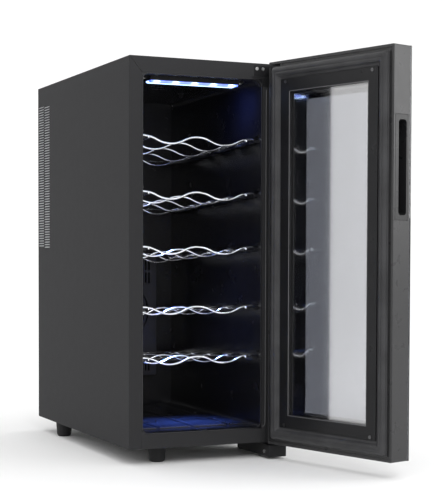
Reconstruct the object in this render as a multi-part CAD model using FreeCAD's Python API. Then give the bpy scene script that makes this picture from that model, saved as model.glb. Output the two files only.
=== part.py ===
import FreeCAD, Part
import math
import os

# Free-standing thermoelectric wine cooler, millimetres.
# Drawing frame: X across the cabinet with 0 at its middle, Y 0 at the cabinet's front plane and
# growing to the rear, Z 0 at the cabinet's underside.  save() then moves every piece so that the
# origin lies on the floor under the middle of the cabinet.  The door is drawn closed, and
# save_door() swings it open about the hinge axis, because open is the rest pose.

# ---- driving dimensions ---------------------------------------------------------------------
CAB_W, CAB_D, CAB_H = 260.0, 470.5, 592.2
FOOT_H = 25.0
SHEET = 1.2                       # painted steel wrap, base pan and bulkhead
BACK_T = 2.0                      # rear cover plate
REAR_FLANGE = 14.0
FOLD_R = 1.5                      # outer radius of the wrap's folds

OPEN_X0, OPEN_X1 = -110.0, 91.0   # opening in the front flanges
OPEN_Z0, OPEN_Z1 = 22.0, 568.0
LINER_T = 2.0
LINER_R = 9.0                     # inner radius of the liner's long corners
LINER_BACK = 370.0
LIP = 0.6                         # how far the liner's mouth stands proud of the flanges

SHELF_Z = [469.5, 385.0, 301.0, 209.0, 131.6]   # middle level of each shelf's front wave
SHELF_TILT = 3.0                  # the shelves and their guides fall to the rear, degrees
SHELF_X = -11.5
SHELF_HALF = 95.5
WAVE_HALF_PITCH = 45.0
WAVE_RISE = 11.0
WIRE_R = 1.6
ROD_R = 1.75
ROD_OFF = 82.0                    # runner rods, each side of the shelf's middle
WAVE_Y0, WAVE_STEP, WAVES = 17.0, 70.0, 5
SHELF_REAR_Y = 332.0

DOOR_T = 37.0
DOOR_GAP = 7.96
DOOR_Z0, DOOR_Z1 = 0.6, 591.4
HINGE_X, HINGE_Y = 115.65, -27.2
OPEN_DEG = 106.0
PIN_R = 3.0
RUN_FIT = 0.05                    # radial play of the pins in their bushes

GLASS_T = 3.5
WINDOW = 49.0                     # inset of the door's window on all four sides
GASKET_OUT, GASKET_IN, GASKET_H = 8.5, 27.0, 6.8

MOD_X, MOD_Z = -10.5, 193.0       # middle of the cooling module
FAN_SIDE, FAN_T, FAN_BORE, SHAFT_R = 92.0, 20.0, 43.5, 1.5
BLADES = 7
SCREW_R = 1.9

half_w = CAB_W / 2
top_z = CAB_H
door_in = -DOOR_GAP               # Y of the door's inner face when closed
door_out = door_in - DOOR_T
shell_out = door_out + GLASS_T + 0.6

os.makedirs("parts", exist_ok=True)
V = FreeCAD.Vector
AXIS = {"x": V(1, 0, 0), "y": V(0, 1, 0), "z": V(0, 0, 1)}


# ---- helpers --------------------------------------------------------------------------------
def box(x0, x1, y0, y1, z0, z1):
    return Part.makeBox(x1 - x0, y1 - y0, z1 - z0, V(x0, y0, z0))


def cyl(radius, length, x, y, z, axis="z"):
    return Part.makeCylinder(radius, length, V(x, y, z), AXIS[axis])


def fuse(shapes):
    return shapes[0].multiFuse(shapes[1:]).removeSplitter() if len(shapes) > 1 else shapes[0]


def cut(shape, tools):
    return shape.cut(tools)


def plate_y(x0, x1, z0, z1, radius, y0, y1):
    """A plate with rounded corners that faces Y."""
    if radius <= 0:
        return box(x0, x1, y0, y1, z0, z1)
    solid = box(x0, x1, y0, y1, z0, z1)
    edges = [e for e in solid.Edges if abs(e.tangentAt(e.FirstParameter).y) > 0.99]
    return solid.makeFillet(radius, edges)


def ring_y(x0, x1, z0, z1, width, y0, y1, radius=0.0):
    """A rectangular frame that faces Y, width wide on every side."""
    outer = plate_y(x0, x1, z0, z1, radius, y0, y1)
    inner_r = max(radius - width, 0.0)
    return outer.cut(plate_y(x0 + width, x1 - width, z0 + width, z1 - width, inner_r, y0 - 1, y1 + 1))


def door_ring(inset_out, inset_in, y0, y1):
    """A frame at these insets from the door's outline."""
    return ring_y(-half_w + inset_out, half_w - inset_out, DOOR_Z0 + inset_out, DOOR_Z1 - inset_out,
                  inset_in - inset_out, y0, y1)


def door_block(inset, y0, y1):
    return box(-half_w + inset, half_w - inset, y0, y1, DOOR_Z0 + inset, DOOR_Z1 - inset)


def round_edges(solid, radius, wanted):
    return solid.makeFillet(radius, [e for e in solid.Edges if wanted(e)])


def screw(x, y, z, axis, head_r, head_h, length, shank_r=SCREW_R):
    """A pan-head screw: its head starts at the point, its shank goes the other way along the axis."""
    d = AXIS[axis] if isinstance(axis, str) else axis
    head = Part.makeCylinder(head_r, head_h, V(x, y, z), d)
    shank = Part.makeCylinder(shank_r, length, V(x, y, z) - d * length, d)
    slot_a = Part.makeBox(head_r * 1.1, 0.8, 0.8, V(-head_r * 0.55, -0.4, head_h - 0.8))
    slot_b = Part.makeBox(0.8, head_r * 1.1, 0.8, V(-0.4, -head_r * 0.55, head_h - 0.8))
    turn = FreeCAD.Placement(V(x, y, z), FreeCAD.Rotation(V(0, 0, 1), d))
    tools = []
    for s in (slot_a, slot_b):
        s.Placement = turn
        tools.append(s)
    return cut(head.fuse(shank), tools)


def save(name, shape):
    placed = shape.copy()
    placed.translate(V(0, -CAB_D / 2, FOOT_H))
    placed.exportStep(os.path.join("parts", name + ".step"))


def save_door(name, shape):
    opened = shape.copy()
    opened.rotate(V(HINGE_X, HINGE_Y, 0), AXIS["z"], OPEN_DEG)
    save(name, opened)


def group(solids):
    return Part.makeCompound(solids)


def tilted(shape, z_mid):
    """Turns a level shelf or guide about the crest line of its front wave, rear end down."""
    shape.rotate(V(0, WAVE_Y0, z_mid + WAVE_RISE / 2), AXIS["x"], -SHELF_TILT)
    return shape


# ---- cabinet --------------------------------------------------------------------------------
LOUVRE_ROWS, LOUVRE_PITCH, LOUVRE_Z = 56, 4.5, 306.0
LOUVRE_H = 2.2
LOUVRE_COLUMNS = [(401.0, 431.0), (435.5, 465.5)]
LEAF_X0, LEAF_X1, LEAF_Z0, LEAF_Z1 = 77.0, 128.0, 572.0, 588.0
FEET = {
    "foot_front_left": (-71.0, 35.0),
    "foot_front_right": (114.0, 108.0),
    "foot_rear_left": (-113.0, 372.0),
    "foot_rear_right": (113.0, 372.0),
}
LOWER_SCREWS_Y = (18.0, 48.0, 78.0)
REAR_SCREW_POINTS = [(sx * 122.0, z) for sx in (-1, 1) for z in (12.0, 200.0, 390.0, 580.0)]


def cabinet_wrap():
    """Two sides and the top in one folded sheet: front and rear flanges and side louvres."""
    back = CAB_D - BACK_T
    outer = box(-half_w, half_w, 0, back, 0, top_z)
    outer = round_edges(outer, FOLD_R, lambda e: (e.BoundBox.YLength < 1 or e.BoundBox.ZMin > top_z - 1)
                        and e.BoundBox.ZMax > 1 and e.BoundBox.YMax < back + 1
                        and not (e.BoundBox.YMin > back - 1))
    inside = box(-half_w + SHEET, half_w - SHEET, SHEET, back - SHEET, -1, top_z - SHEET)
    rear = box(-half_w + REAR_FLANGE, half_w - REAR_FLANGE, back - 2 * SHEET, back + 1, -1, top_z - REAR_FLANGE)
    opening = box(OPEN_X0, OPEN_X1, -1, SHEET + 1, -1, OPEN_Z1)
    leaf_hole = box(LEAF_X0 - 0.2, LEAF_X1 + 0.2, -1, SHEET + 1, LEAF_Z0 - 0.2, LEAF_Z1 + 0.2)
    dx, dz = -half_w - OPEN_X0, top_z - OPEN_Z1
    mitre = Part.makeBox(math.hypot(dx, dz) + 2.0, SHEET + 2, 0.5, V(-3.0, -1, -0.25))
    mitre.rotate(V(0, 0, 0), AXIS["y"], -math.degrees(math.atan2(dz, dx)))
    mitre.translate(V(OPEN_X0, 0, OPEN_Z1))
    tools = [inside, rear, opening, leaf_hole, mitre]
    tools += [cyl(SCREW_R + 0.1, 8, x, back - 5, z, "y") for x, z in REAR_SCREW_POINTS]
    for row in range(LOUVRE_ROWS):
        z = LOUVRE_Z + row * LOUVRE_PITCH
        for column, (y0, y1) in enumerate(LOUVRE_COLUMNS):
            lift = column * LOUVRE_PITCH / 2
            tools.append(box(-half_w - 1, -half_w + SHEET + 1, y0, y1, z + lift, z + lift + LOUVRE_H))
            tools.append(box(half_w - SHEET - 1, half_w + 1, y0, y1, z + lift, z + lift + LOUVRE_H))
    return cut(outer, tools)


def base_pan():
    floor = box(-half_w + SHEET, half_w - SHEET, SHEET, CAB_D - BACK_T - SHEET, 0, SHEET)
    strip = box(OPEN_X0 + 0.2, OPEN_X1 - 0.2, 0, SHEET, 0, OPEN_Z0)
    holes = [cyl(SCREW_R + 0.1, 4, x, y, -1) for x, y in FEET.values()]
    holes += [cyl(SCREW_R + 0.1, 4, HINGE_X - 5, y, -1) for y in LOWER_SCREWS_Y]
    return cut(floor.fuse(strip), holes)


def foot(x, y):
    """A tapered moulded foot with a chamfered sole, recessed for its screw."""
    body = Part.makeCone(12.2, 14.2, FOOT_H - 2.5, V(x, y, -FOOT_H + 2.5))
    sole = Part.makeCone(9.8, 12.2, 2.5, V(x, y, -FOOT_H))
    recess = cyl(5.5, 14, x, y, -FOOT_H - 1)
    hole = cyl(SCREW_R + 0.1, FOOT_H, x, y, -FOOT_H)
    return cut(body.fuse(sole), [recess, hole])


def foot_screws():
    return group([screw(x, y, -FOOT_H + 13, V(0, 0, -1), 4.0, 2.2, 16) for x, y in FEET.values()])


# ---- liner ----------------------------------------------------------------------------------
GUIDE_Y0, GUIDE_Y1 = 6.0, 348.0
PAD_Y0, PAD_Y1, PAD_H = 38.0, 345.0, 3.6
PAD_GROOVES = [-68.0, -11.0, 50.0]
PAD_GROOVE_W = 5.0
MOD_HALF_X, MOD_HALF_Z = 51.0, 51.0


def inner_liner():
    """The moulded tub: rounded mouth, two guide ribs per shelf and side, raised floor pads."""
    x0, x1 = OPEN_X0 + LINER_T, OPEN_X1 - LINER_T
    z0, z1 = OPEN_Z0 + LINER_T, OPEN_Z1 - LINER_T
    tub = plate_y(OPEN_X0, OPEN_X1, OPEN_Z0, OPEN_Z1, LINER_R + LINER_T, -LIP, LINER_BACK + LINER_T)
    rim = box(OPEN_X0 - 8, OPEN_X1 + 8, SHEET, SHEET + 2, OPEN_Z0 - 8, OPEN_Z1 + 3)
    hollow = plate_y(x0, x1, z0, z1, LINER_R, -LIP - 1, LINER_BACK)
    back_hole = box(MOD_X - MOD_HALF_X, MOD_X + MOD_HALF_X, LINER_BACK - 1, LINER_BACK + 3,
                    MOD_Z - MOD_HALF_Z, MOD_Z + MOD_HALF_Z)
    screw_holes = [cyl(SCREW_R + 0.05, 4, x, LED_MID, CEILING - 1) for x in LED_SCREWS_X]
    shell = cut(tub.fuse(rim), [hollow, back_hole] + screw_holes)
    shell = round_edges(shell, 0.5, lambda e: abs(e.BoundBox.YMin + LIP) < 1e-6 and e.BoundBox.YLength < 1e-6
                        and e.BoundBox.XMin < OPEN_X1 - 0.5)
    gusset = Part.makePolygon([V(x1 - 11, 0, z1 + 0.5), V(x1 + 0.5, 0, z1 + 0.5), V(x1 + 0.5, 0, z1 - 11),
                               V(x1 - 11, 0, z1 + 0.5)])
    pieces = [shell, Part.Face(gusset).extrude(V(0, 9, 0)).common(tub)]
    rib_reach = SHELF_HALF - 4.5
    for z in SHELF_Z:
        rest = z + WAVE_RISE / 2 - WIRE_R - 0.4
        for wall, side in ((x0, -1), (x1, 1)):
            tip = SHELF_X + side * rib_reach
            lo, hi = sorted((wall + side * 0.5, tip))
            pieces.append(tilted(box(lo, hi, GUIDE_Y0, GUIDE_Y1, rest - 4.0, rest), z))
            lo, hi = sorted((wall + side * 0.5, wall - side * 3.5))
            pieces.append(tilted(box(lo, hi, GUIDE_Y0, GUIDE_Y1, z + 9.6, z + 12.0), z))
    edges = [x0 + 6] + [g + s * PAD_GROOVE_W / 2 for g in PAD_GROOVES for s in (-1, 1)] + [x1 - 6]
    for left, right in zip(edges[::2], edges[1::2]):
        pad = box(left, right, PAD_Y0, PAD_Y1, z0 - 0.5, z0 + PAD_H)
        pieces.append(round_edges(pad, 2.4, lambda e: abs(e.BoundBox.ZMin - z0 - PAD_H) < 1e-6))
    return fuse(pieces)


def insulation():
    """Rigid foam between the liner and the steel, with the cooling module's well in its back."""
    block = box(-half_w + SHEET, half_w - SHEET, SHEET + 2.2, BULK_Y, SHEET + 0.2, top_z - SHEET)
    tub = plate_y(OPEN_X0, OPEN_X1, OPEN_Z0, OPEN_Z1, LINER_R + LINER_T, 0, LINER_BACK + LINER_T)
    well = box(MOD_X - MOD_HALF_X, MOD_X + MOD_HALF_X, LINER_BACK, SINK_BACK,
               MOD_Z - MOD_HALF_Z, MOD_Z + MOD_HALF_Z)
    collar = box(MOD_X - COLLAR_HALF, MOD_X + COLLAR_HALF, BULK_Y - 1, HOT_BASE_Y,
                 MOD_Z - COLLAR_HALF, MOD_Z + COLLAR_HALF)
    core = box(MOD_X - BLOCK_HALF - 0.2, MOD_X + BLOCK_HALF + 0.2, SINK_BACK - 1, HOT_BASE_Y + 1,
               MOD_Z - BLOCK_HALF - 0.2, MOD_Z + BLOCK_HALF + 0.2)
    leaf_room = box(LEAF_X0 - 1, LEAF_X1 + 1, 0, 12, LEAF_Z0 - 1, LEAF_Z1 + 1)
    screw_room = [cyl(4.5, 16, x, y, -1) for x, y in FEET.values()]
    screw_room += [cyl(4.5, 16, HINGE_X - 5, y, -1) for y in LOWER_SCREWS_Y]
    screw_room += [cyl(SCREW_R + 0.3, 9, x, LED_MID, CEILING) for x in LED_SCREWS_X]
    screw_room += clamp_holes(SINK_BACK - 1, BULK_Y + 1, SCREW_R + 0.3)
    return cut(block.fuse(collar), [tub, well, core, leaf_room] + screw_room)


# ---- hinges ---------------------------------------------------------------------------------
EAR_Z0, EAR_Z1 = 584.0, 587.0
ARM_Z0, ARM_Z1 = -3.0, 0.0
POCKET_Z0, POCKET_Z1 = 583.3, 587.7
COVER_X0, COVER_X1, COVER_Y0, COVER_Y1, COVER_Z0 = 94.5, 126.0, -20.0, 92.0, -21.5
LEAF_SCREWS_X = (81.2, 91.5)
LEAF_SCREW_Z = 583.6


def upper_hinge_bracket():
    """A leaf let into the flange, with an ear that carries the pin over the door's top pocket."""
    leaf = box(LEAF_X0, LEAF_X1, -0.5, 2.0, LEAF_Z0, LEAF_Z1)
    neck = box(HINGE_X - 5, HINGE_X + 5, HINGE_Y, 0, EAR_Z0, EAR_Z1)
    eye = cyl(7.5, EAR_Z1 - EAR_Z0, HINGE_X, HINGE_Y, EAR_Z0)
    hole = cyl(PIN_R, 8, HINGE_X, HINGE_Y, EAR_Z0 - 2)
    screw_holes = [cyl(SCREW_R, 6, x, -2, LEAF_SCREW_Z, "y") for x in LEAF_SCREWS_X]
    screw_holes += [cyl(2.7, 1.4, x, -1, LEAF_SCREW_Z, "y") for x in LEAF_SCREWS_X]
    return cut(fuse([leaf, neck, eye]), [hole] + screw_holes)


def upper_hinge_cover():
    """A thin moulded escutcheon on the flange, below the leaf and around the liner's corner."""
    strip = box(72.0, 128.0, -0.5, 0, OPEN_Z1 + 0.4, LEAF_Z0 - 0.3)
    tab = box(OPEN_X1 + 0.4, 128.0, -0.5, 0, OPEN_Z1 - 12, OPEN_Z1 + 1)
    return round_edges(strip.fuse(tab).removeSplitter(), 1.5, lambda e: e.BoundBox.YLength > 0.4
                       and e.BoundBox.ZMin < OPEN_Z1 - 10)


def lower_hinge_bracket():
    """A flat arm under the base pan that runs forward under the door."""
    plate = box(HINGE_X - 14, HINGE_X + 7, 4, COVER_Y1 - 4, ARM_Z0, ARM_Z1)
    arm = box(HINGE_X - 8, HINGE_X + 8, HINGE_Y, 6, ARM_Z0, ARM_Z1)
    eye = cyl(8, ARM_Z1 - ARM_Z0, HINGE_X, HINGE_Y, ARM_Z0)
    holes = [cyl(PIN_R, 8, HINGE_X, HINGE_Y, ARM_Z0 - 2)]
    holes += [cyl(SCREW_R + 0.1, 8, HINGE_X - 5, y, ARM_Z0 - 2) for y in LOWER_SCREWS_Y]
    return cut(fuse([plate, arm, eye]), holes)


def lower_hinge_cover():
    """A moulded boot around the lower bracket's fixing, with a shallow step towards its rear."""
    outer = box(COVER_X0, COVER_X1, COVER_Y0, COVER_Y1, COVER_Z0, ARM_Z0)
    collar = box(COVER_X0 + 1, COVER_X1 - 0.3, 1.5, COVER_Y1 - 1, ARM_Z0 - 1, ARM_Z1)
    outer = round_edges(outer, 3.0, lambda e: e.BoundBox.ZLength > 10 or
                        (abs(e.BoundBox.ZMax - COVER_Z0) < 1e-6 and e.BoundBox.XLength > 10
                         and e.BoundBox.YMin > 0))
    outer = round_edges(outer, 1.2, lambda e: abs(e.BoundBox.ZMax - COVER_Z0) < 1e-6)
    inner = box(COVER_X0 + 2.4, COVER_X1 - 2.4, COVER_Y0 + 2.4, COVER_Y1 - 2.4, COVER_Z0 + 2.4, ARM_Z0 - 2)
    plate_room = box(HINGE_X - 14.3, HINGE_X + 7.3, 3.7, COVER_Y1 - 3.7, ARM_Z0 - 3, ARM_Z1 + 1)
    arm_room = box(HINGE_X - 8.2, HINGE_X + 8.2, -1, 6, ARM_Z0, ARM_Z1 + 1)
    screw_hole = cyl(SCREW_R + 0.1, 8, COVER_X0 - 2, -5, -13.5, "x")
    return cut(outer.fuse(collar), [inner, plate_room, arm_room, screw_hole])


def hinge_pins():
    upper = cyl(PIN_R, EAR_Z1 - 562.0, HINGE_X, HINGE_Y, 562.0)
    lower = cyl(PIN_R, 20.0 - ARM_Z0, HINGE_X, HINGE_Y, ARM_Z0)
    return upper, lower


def hinge_screws():
    solids = [screw(x, 0.4, LEAF_SCREW_Z, V(0, -1, 0), 2.6, 0.9, 9) for x in LEAF_SCREWS_X]
    solids += [screw(HINGE_X - 5, y, ARM_Z0, V(0, 0, -1), 4.0, 2.2, 12) for y in LOWER_SCREWS_Y]
    solids.append(screw(COVER_X0, -5, -13.5, V(-1, 0, 0), 3.0, 1.2, 6))
    return group(solids)


# ---- light ----------------------------------------------------------------------------------
LED_X0, LED_X1, LED_Y0, LED_Y1 = -88.0, 62.0, 22.0, 48.0
CEILING = OPEN_Z1 - LINER_T
LED_BOTTOM = CEILING - 9.0
LED_COUNT = 5
LED_MID = (LED_Y0 + LED_Y1) / 2
LED_SCREWS_X = (LED_X0 - 5.5, LED_X1 + 5.5)


def led_housing():
    outer = box(LED_X0, LED_X1, LED_Y0, LED_Y1, LED_BOTTOM + 3.0, CEILING)
    outer = round_edges(outer, 1.5, lambda e: e.BoundBox.ZLength > 4)
    room = box(LED_X0 + 2, LED_X1 - 2, LED_Y0 + 2, LED_Y1 - 2, LED_BOTTOM, CEILING - 2)
    ears = [box(LED_X0 - 10, LED_X0 + 1, 30, 40, CEILING - 2.4, CEILING),
            box(LED_X1 - 1, LED_X1 + 10, 30, 40, CEILING - 2.4, CEILING)]
    holes = [cyl(SCREW_R + 0.1, 6, x, LED_MID, CEILING - 4) for x in LED_SCREWS_X]
    return cut(fuse([outer] + ears), [room] + holes)


def led_lens():
    """The milky diffuser that snaps into the housing, rounded along its length."""
    lens = box(LED_X0 + 2.1, LED_X1 - 2.1, LED_Y0 + 2.1, LED_Y1 - 2.1, LED_BOTTOM, LED_BOTTOM + 4.6)
    lens = round_edges(lens, 2.2, lambda e: abs(e.BoundBox.ZMax - LED_BOTTOM) < 1e-6)
    hollow = box(LED_X0 + 3.6, LED_X1 - 3.6, LED_Y0 + 3.6, LED_Y1 - 3.6, LED_BOTTOM + 1.5, LED_BOTTOM + 5)
    return lens.cut(hollow)


def led_board():
    return box(LED_X0 + 4, LED_X1 - 4, LED_Y0 + 5, LED_Y1 - 5, CEILING - 3.6, CEILING - 2.2)


def led_chips():
    step = (LED_X1 - LED_X0 - 24) / (LED_COUNT - 1)
    return group([box(LED_X0 + 9.5 + i * step, LED_X0 + 14.5 + i * step, LED_MID - 2.5, LED_MID + 2.5,
                      CEILING - 4.8, CEILING - 3.6) for i in range(LED_COUNT)])


def led_screws():
    return group([screw(x, LED_MID, CEILING - 2.4, V(0, 0, -1), 3.2, 1.4, 9) for x in LED_SCREWS_X])


def temperature_sensor():
    """A small probe clipped to the ceiling."""
    body = cyl(3.0, 5.0, 42.0, 213.0, CEILING - 5.0)
    tip = Part.makeSphere(3.0, V(42.0, 213.0, CEILING - 5.0))
    flange = cyl(5.0, 1.2, 42.0, 213.0, CEILING - 1.2)
    return fuse([body, tip, flange])


# ---- cooling module -------------------------------------------------------------------------
COVER_FRONT = 352.0
COVER_HALF, COVER_LOW, COVER_HIGH = 64.0, 78.6, 289.8
IN_FAN_Y = 356.0
COLD_FIN_Y, COLD_BASE_Y, SINK_BACK = 376.0, 391.0, 396.0
BULK_Y = 398.0
BLOCK_HALF, PELTIER_HALF, COLLAR_HALF = 22.0, 20.0, 29.0
PELTIER_Y, HOT_BASE_Y = 408.0, 412.0
HOT_FIN_Y, HOT_END_Y = 417.0, 438.0
OUT_FAN_Y = 438.0
SINK_HALF, HOT_HALF = 48.0, 60.0
FAN_HOLE = 41.25                  # fan mounting holes, each way from its middle
GRILLE_R, GRILLE_STEP, GRILLE_SLOT = 49.0, 6.4, 3.2
CLAMP_OFF = 34.0


def grille_slots(x, z, y0, y1, spokes, outer=GRILLE_R):
    """Concentric slots, broken by straight spokes."""
    tools = []
    radius = outer
    while radius > 14:
        ring = cyl(radius, y1 - y0, x, y0, z, "y").cut(cyl(radius - GRILLE_SLOT, y1 - y0, x, y0, z, "y"))
        tools.append(ring)
        radius -= GRILLE_STEP
    bars = []
    for i in range(spokes):
        bar = box(x, x + outer + 2, y0 - 1, y1 + 1, z - 2.2, z + 2.2)
        bar.rotate(V(x, 0, z), AXIS["y"], 45 + 360.0 * i / spokes)
        bars.append(bar)
    return [ring.cut(bars) for ring in tools]


def fan_cover():
    """The grille inside the cabinet, in front of the small fan."""
    x0, x1 = MOD_X - COVER_HALF, MOD_X + COVER_HALF
    outer = plate_y(x0, x1, COVER_LOW, COVER_HIGH, 4.0, COVER_FRONT, LINER_BACK)
    outer = round_edges(outer, 1.5, lambda e: abs(e.BoundBox.YMax - COVER_FRONT) < 1e-6)
    room = box(x0 + 2, x1 - 2, COVER_FRONT + 2.4, LINER_BACK + 1, COVER_LOW + 2, COVER_HIGH - 2)
    tools = [room]
    for low, high in ((266.0, 285.0), (243.0, 262.0), (86.0, 105.0)):
        for i in range(-8, 9):
            x = MOD_X + i * 6.2
            tools.append(box(x - 1.6, x + 1.6, COVER_FRONT - 1, COVER_FRONT + 4, low, high))
    tools += grille_slots(MOD_X, MOD_Z, COVER_FRONT - 1, COVER_FRONT + 4, 4)
    return cut(outer, tools)


def fan_frame(y0):
    """A square axial-fan frame with a round throat, four struts and the motor's cup."""
    h = FAN_SIDE / 2
    outer = plate_y(MOD_X - h, MOD_X + h, MOD_Z - h, MOD_Z + h, 4.0, y0, y0 + FAN_T)
    throat = cyl(FAN_BORE, FAN_T + 2, MOD_X, y0 - 1, MOD_Z, "y")
    frame = cut(outer, [throat] + fan_holes(y0 - 1, y0 + FAN_T + 1, 2.2))
    strut_y = y0 + FAN_T - 2.4
    cup = cyl(19.0, 2.4, MOD_X, strut_y, MOD_Z, "y")
    struts = []
    for i in range(4):
        bar = box(MOD_X, MOD_X + FAN_BORE + 1, strut_y, strut_y + 2.4, MOD_Z - 1.5, MOD_Z + 1.5)
        bar.rotate(V(MOD_X, 0, MOD_Z), AXIS["y"], 20 + 90 * i)
        struts.append(bar)
    stub = cyl(SHAFT_R, 10, MOD_X, strut_y - 8, MOD_Z, "y")
    return fuse([frame, cup] + struts + [stub])


def fan_impeller(y0):
    """A hub with pitched blades, bored for the frame's shaft stub."""
    front = y0 + 1.4
    depth = FAN_T - 5.2
    hub = cyl(17.0, depth, MOD_X, front, MOD_Z, "y")
    blades = []
    for i in range(BLADES):
        blade = Part.makeBox(26.0, 1.3, depth + 3.4, V(15.5, -0.65, -(depth + 3.4) / 2))
        blade.rotate(V(0, 0, 0), AXIS["x"], 48)
        blade.rotate(V(0, 0, 0), AXIS["x"], 90)
        blade.rotate(V(0, 0, 0), AXIS["y"], 360.0 * i / BLADES)
        blade.translate(V(MOD_X, front + depth / 2, MOD_Z))
        blades.append(blade)
    keep = cyl(FAN_BORE - 1.5, depth, MOD_X, front, MOD_Z, "y")
    shape = fuse([hub] + blades).common(keep)
    return shape.cut(cyl(SHAFT_R + RUN_FIT, 10.2, MOD_X, front + depth - 9, MOD_Z, "y"))


def heatsink(base_y0, base_y1, fin_y0, fin_y1, half, count):
    base = box(MOD_X - half, MOD_X + half, base_y0, base_y1, MOD_Z - half, MOD_Z + half)
    step = (2 * half - 1.6) / (count - 1)
    fins = [box(MOD_X - half + i * step, MOD_X - half + i * step + 1.6, fin_y0, fin_y1,
                MOD_Z - half, MOD_Z + half) for i in range(count)]
    return fuse([base] + fins)


def clamp_points():
    return [(MOD_X + sx * CLAMP_OFF, MOD_Z + sz * CLAMP_OFF) for sx in (-1, 1) for sz in (-1, 1)]


def clamp_holes(y0, y1, radius):
    return [cyl(radius, y1 - y0, x, y0, z, "y") for x, z in clamp_points()]


def fan_corners():
    return [(MOD_X + sx * FAN_HOLE, MOD_Z + sz * FAN_HOLE) for sx in (-1, 1) for sz in (-1, 1)]


def fan_holes(y0, y1, radius):
    return [cyl(radius, y1 - y0, x, y0, z, "y") for x, z in fan_corners()]


def cold_heatsink():
    sink = heatsink(COLD_BASE_Y, SINK_BACK, COLD_FIN_Y, COLD_BASE_Y, SINK_HALF, 13)
    pilots = clamp_holes(COLD_BASE_Y - 0.5, SINK_BACK + 1, SCREW_R + 0.05)
    return cut(sink, pilots + fan_holes(COLD_FIN_Y - 1, COLD_FIN_Y + 6, SCREW_R + 0.05))


def hot_heatsink():
    sink = heatsink(HOT_BASE_Y, HOT_FIN_Y, HOT_FIN_Y, HOT_END_Y, HOT_HALF, 19)
    wells = clamp_holes(HOT_FIN_Y, HOT_END_Y + 1, 5.0)
    pilots = fan_holes(HOT_END_Y - 6, HOT_END_Y + 1, SCREW_R + 0.05)
    return cut(sink, clamp_holes(HOT_BASE_Y - 1, HOT_FIN_Y + 1, SCREW_R + 0.2) + wells + pilots)


def module_screws():
    return group([screw(x, HOT_FIN_Y, z, "y", 4.0, 2.6, HOT_FIN_Y - COLD_BASE_Y - 0.5)
                  for x, z in clamp_points()])


def rear_bulkhead():
    plate = box(-half_w + SHEET, half_w - SHEET, BULK_Y, BULK_Y + SHEET, SHEET + 0.2, top_z - SHEET - 0.2)
    window = box(MOD_X - COLLAR_HALF - 0.1, MOD_X + COLLAR_HALF + 0.1, BULK_Y - 1, BULK_Y + 3,
                 MOD_Z - COLLAR_HALF - 0.1, MOD_Z + COLLAR_HALF + 0.1)
    return cut(plate, [window] + clamp_holes(BULK_Y - 1, BULK_Y + 3, SCREW_R + 0.2))


def cold_block():
    return box(MOD_X - BLOCK_HALF, MOD_X + BLOCK_HALF, SINK_BACK, PELTIER_Y,
               MOD_Z - BLOCK_HALF, MOD_Z + BLOCK_HALF)


def thermoelectric_module():
    return box(MOD_X - PELTIER_HALF, MOD_X + PELTIER_HALF, PELTIER_Y, HOT_BASE_Y,
               MOD_Z - PELTIER_HALF, MOD_Z + PELTIER_HALF)


def fan_screws():
    solids = [screw(x, IN_FAN_Y, z, V(0, -1, 0), 3.2, 1.2, FAN_T + 5) for x, z in fan_corners()]
    solids += [screw(x, OUT_FAN_Y + FAN_T, z, "y", 3.2, 1.6, FAN_T + 5) for x, z in fan_corners()]
    return group(solids)


# ---- rear and electrics ---------------------------------------------------------------------
INLET_X, INLET_Z = 84.0, 42.0
BOARD_X0, BOARD_X1, BOARD_Z0, BOARD_Z1 = -108.0, 30.0, 22.0, 112.0
BOARD_Y = BULK_Y + SHEET + 6.0


def rear_cover():
    """The rear panel: fan grille, intake louvres, inlet cut-out and a folded edge."""
    y0, y1 = CAB_D - BACK_T, CAB_D
    plate = box(-half_w + 0.3, half_w - 0.3, y0, y1, 0.3, top_z - 0.3)
    tools = grille_slots(MOD_X, MOD_Z, y0 - 1, y1 + 1, 6, 50.0)
    for row in range(10):
        z = 300.0 + row * 14.0
        for x in (-78.0, -10.5, 57.0):
            tools.append(plate_y(x - 26, x + 26, z, z + 5, 2.4, y0 - 1, y1 + 1))
    for row in range(4):
        z = 28.0 + row * 14.0
        for x in (-78.0, -10.5):
            tools.append(plate_y(x - 26, x + 26, z, z + 5, 2.4, y0 - 1, y1 + 1))
    tools.append(box(INLET_X - 13.6, INLET_X + 13.6, y0 - 1, y1 + 1, INLET_Z - 9.9, INLET_Z + 9.9))
    tools += [cyl(SCREW_R + 0.1, 6, x, y0 - 2, z, "y") for x, z in REAR_SCREW_POINTS]
    return cut(plate, tools)


def rear_cover_screws():
    return group([screw(x, CAB_D, z, "y", 3.2, 1.6, 6) for x, z in REAR_SCREW_POINTS])


def mains_inlet():
    """A snap-in appliance inlet, its socket open to the rear."""
    body = plate_y(INLET_X - 13.4, INLET_X + 13.4, INLET_Z - 9.7, INLET_Z + 9.7, 2.0, CAB_D - 22, CAB_D)
    rim = plate_y(INLET_X - 15.5, INLET_X + 15.5, INLET_Z - 12.2, INLET_Z + 12.2, 2.5, CAB_D, CAB_D + 2.5)
    socket = box(INLET_X - 12, INLET_X + 12, CAB_D - 13.5, CAB_D + 3, INLET_Z - 7.8, INLET_Z + 7.8)
    corners = [e for e in socket.Edges if e.BoundBox.YLength > 4 and e.BoundBox.ZMin > INLET_Z]
    return body.fuse(rim).cut(socket.makeChamfer(4.0, corners))


def inlet_pins():
    blade = 2.0
    spots = [(INLET_X - 7.0, INLET_Z - 2.0), (INLET_X, INLET_Z + 2.0), (INLET_X + 7.0, INLET_Z - 2.0)]
    return group([box(x - blade / 2, x + blade / 2, CAB_D - 13.5, CAB_D - 3, z - 2, z + 2) for x, z in spots])


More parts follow.
